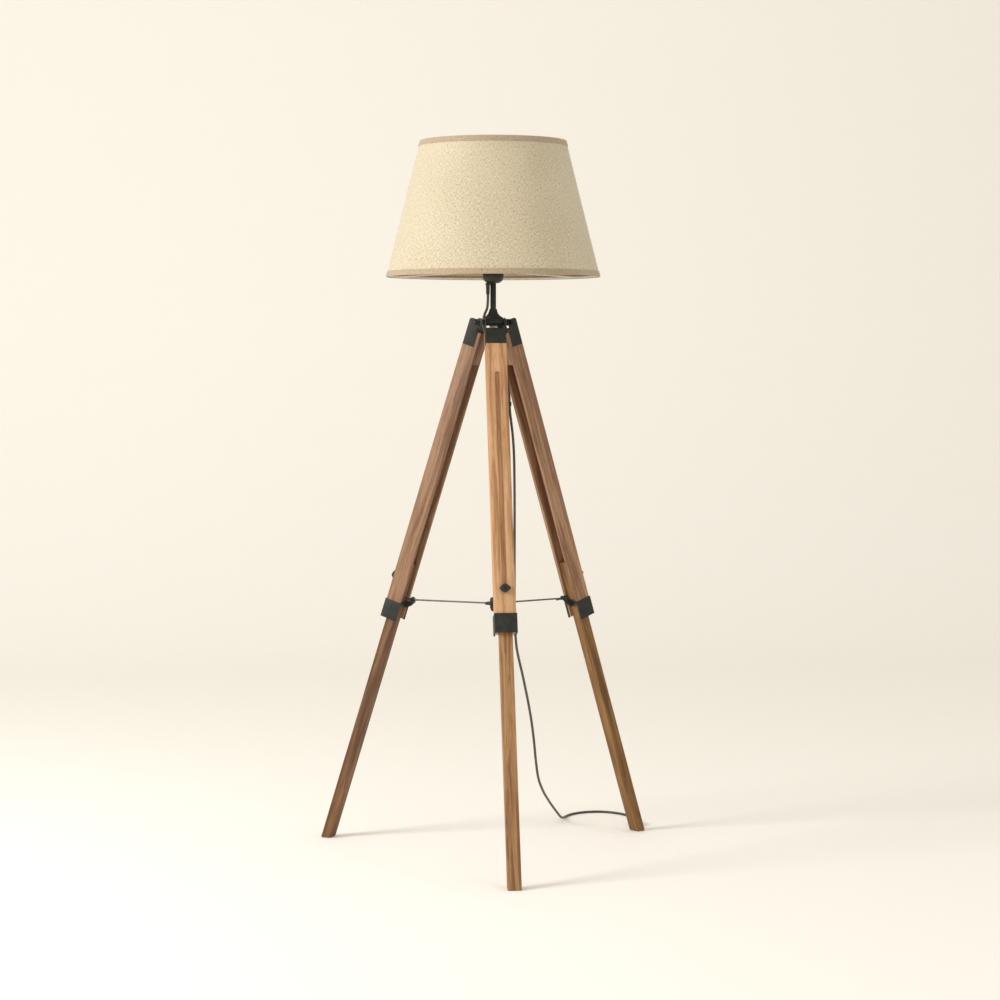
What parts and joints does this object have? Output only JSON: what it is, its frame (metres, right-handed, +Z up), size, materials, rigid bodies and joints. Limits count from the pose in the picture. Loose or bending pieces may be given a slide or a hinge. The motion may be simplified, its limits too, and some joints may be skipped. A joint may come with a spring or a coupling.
{
  "type": "tripod floor lamp",
  "caption": "Tripod floor lamp: tapered drum shade over a small lamp holder on a slim post, hinged telescopic wooden legs with grooves and clamp knobs, and a folding rod spreader.",
  "frame": {"origin": "centre of the footprint on the floor, with the free cord and its plug left out", "axes": "+Z up, the front leg points along -Y, +X is to the right of someone who faces the front leg"},
  "size_m": [0.7182, 0.8262, 1.498],
  "materials": {
    "black_steel": "satin powder coat",
    "white_wire": "cream dip coat",
    "zinc_steel": "zinc plated",
    "brass": "plain",
    "upper_leg_wood": "oiled hardwood",
    "lower_leg_wood": "oiled hardwood",
    "shade_linen": "plain weave linen",
    "shade_tape": "woven binding tape",
    "black_plastic": "moulded",
    "ceramic": "glazed porcelain",
    "opal_glass": "frosted opal glass, opaque",
    "cord_pvc": "satin flexible sheath"
  },
  "bodies": {
    "lamp_head": {"hub": "black_steel", "hub_nut": "zinc_steel", "cone_flange": "black_steel", "post_tube": "black_steel", "lamp_pipe": "zinc_steel", "socket_cap": "black_plastic", "socket_sleeve": "black_plastic", "socket_insulator": "ceramic", "socket_screw_shell": "brass", "bulb_screw_cap": "zinc_steel", "bulb_glass": "opal_glass", "shade_fabric": "shade_linen", "shade_top_tape": "shade_tape", "shade_bottom_tape": "shade_tape", "shade_top_ring": "white_wire", "shade_frame": "white_wire", "cord_bushing": "black_plastic", "cord_upper": "cord_pvc", "cord_free": "cord_pvc", "plug": "black_plastic"},
    "shade_ring_nut": {"shade_ring_nut": "black_plastic"},
    "front_upper": {"front_bracket": "black_steel", "front_hinge_bolt": "black_steel", "front_hinge_nut": "black_steel", "front_upper_leg": "upper_leg_wood", "front_collar": "black_steel", "front_spreader_bolt": "zinc_steel", "front_clamp_stud": "zinc_steel", "front_clamp_washer": "zinc_steel", "cord_clip": "black_plastic"},
    "front_lower": {"front_lower_leg": "lower_leg_wood"},
    "front_knob": {"front_clamp_knob": "black_plastic"},
    "front_wing_nut": {"front_wing_nut": "zinc_steel"},
    "front_rod": {"front_spreader_rod": "zinc_steel"},
    "right_upper": {"right_bracket": "black_steel", "right_hinge_bolt": "black_steel", "right_hinge_nut": "black_steel", "right_upper_leg": "upper_leg_wood", "right_collar": "black_steel", "right_spreader_bolt": "zinc_steel", "right_clamp_stud": "zinc_steel", "right_clamp_washer": "zinc_steel"},
    "right_lower": {"right_lower_leg": "lower_leg_wood"},
    "right_knob": {"right_clamp_knob": "black_plastic"},
    "right_wing_nut": {"right_wing_nut": "zinc_steel"},
    "right_rod": {"right_spreader_rod": "zinc_steel"},
    "left_upper": {"left_bracket": "black_steel", "left_hinge_bolt": "black_steel", "left_hinge_nut": "black_steel", "left_upper_leg": "upper_leg_wood", "left_collar": "black_steel", "left_spreader_bolt": "zinc_steel", "left_clamp_stud": "zinc_steel", "left_clamp_washer": "zinc_steel"},
    "left_lower": {"left_lower_leg": "lower_leg_wood"},
    "left_knob": {"left_clamp_knob": "black_plastic"},
    "left_wing_nut": {"left_wing_nut": "zinc_steel"},
    "left_rod": {"left_spreader_rod": "zinc_steel"},
    "spreader_centre": {"spreader_centre": "black_steel"}
  },
  "joints": [
    {"name": "shade_ring_nut_turn", "type": "hinge", "parent": "lamp_head", "child": "shade_ring_nut", "pos_m": [0, 0.09, 1.232], "axis": [0, 0, 1], "continuous": true},
    {"name": "front_leg_fold", "type": "hinge", "parent": "lamp_head", "child": "front_upper", "pos_m": [0, 0.058, 1.12], "axis": [1, 0, 0], "range_deg": [0, 14.5], "deforming": ["cord_upper", "cord_free"]},
    {"name": "front_leg_slide", "type": "slide", "parent": "front_upper", "child": "front_lower", "axis": [0, 0.3123, 0.95], "range_m": [0, 0.44]},
    {"name": "front_clamp_knob_turn", "type": "hinge", "parent": "front_upper", "child": "front_knob", "pos_m": [0, -0.14012, 0.58144], "axis": [0, -0.95, 0.3123], "continuous": true},
    {"name": "front_wing_nut_turn", "type": "hinge", "parent": "front_upper", "child": "front_wing_nut", "pos_m": [0.005, -0.1, 0.528], "axis": [1, 0, 0], "continuous": true},
    {"name": "front_rod_swing", "type": "hinge", "parent": "front_upper", "child": "front_rod", "pos_m": [0, -0.1, 0.528], "axis": [1, 0, 0], "range_deg": [0, 70]},
    {"name": "right_leg_fold", "type": "hinge", "parent": "lamp_head", "child": "right_upper", "pos_m": [0.02771, 0.106, 1.12], "axis": [-0.5, 0.866, 0], "range_deg": [0, 14.5]},
    {"name": "right_leg_slide", "type": "slide", "parent": "right_upper", "child": "right_lower", "axis": [-0.2705, -0.1562, 0.95], "range_m": [0, 0.44]},
    {"name": "right_clamp_knob_turn", "type": "hinge", "parent": "right_upper", "child": "right_knob", "pos_m": [0.19929, 0.20506, 0.58144], "axis": [0.8227, 0.475, 0.3123], "continuous": true},
    {"name": "right_wing_nut_turn", "type": "hinge", "parent": "right_upper", "child": "right_wing_nut", "pos_m": [0.16204, 0.18933, 0.528], "axis": [-0.5, 0.866, 0], "continuous": true},
    {"name": "right_rod_swing", "type": "hinge", "parent": "right_upper", "child": "right_rod", "pos_m": [0.16454, 0.185, 0.528], "axis": [-0.5, 0.866, 0], "range_deg": [0, 70]},
    {"name": "left_leg_fold", "type": "hinge", "parent": "lamp_head", "child": "left_upper", "pos_m": [-0.02771, 0.106, 1.12], "axis": [-0.5, -0.866, 0], "range_deg": [0, 14.5]},
    {"name": "left_leg_slide", "type": "slide", "parent": "left_upper", "child": "left_lower", "axis": [0.2705, -0.1562, 0.95], "range_m": [0, 0.44]},
    {"name": "left_clamp_knob_turn", "type": "hinge", "parent": "left_upper", "child": "left_knob", "pos_m": [-0.19929, 0.20506, 0.58144], "axis": [-0.8227, 0.475, 0.3123], "continuous": true},
    {"name": "left_wing_nut_turn", "type": "hinge", "parent": "left_upper", "child": "left_wing_nut", "pos_m": [-0.16704, 0.18067, 0.528], "axis": [-0.5, -0.866, 0], "continuous": true},
    {"name": "left_rod_swing", "type": "hinge", "parent": "left_upper", "child": "left_rod", "pos_m": [-0.16454, 0.185, 0.528], "axis": [-0.5, -0.866, 0], "range_deg": [0, 70]},
    {"name": "spreader_level", "type": "hinge", "parent": "front_rod", "child": "spreader_centre", "pos_m": [0, 0.076, 0.528], "axis": [1, 0, 0], "range_deg": [-84, 0]}
  ],
  "couplings": [
    {"joint": "front_rod_swing", "follows": "front_leg_fold", "ratio": 4.694},
    {"joint": "right_rod_swing", "follows": "right_leg_fold", "ratio": 4.694},
    {"joint": "left_rod_swing", "follows": "left_leg_fold", "ratio": 4.694},
    {"joint": "spreader_level", "follows": "front_leg_fold", "ratio": -5.694}
  ]
}
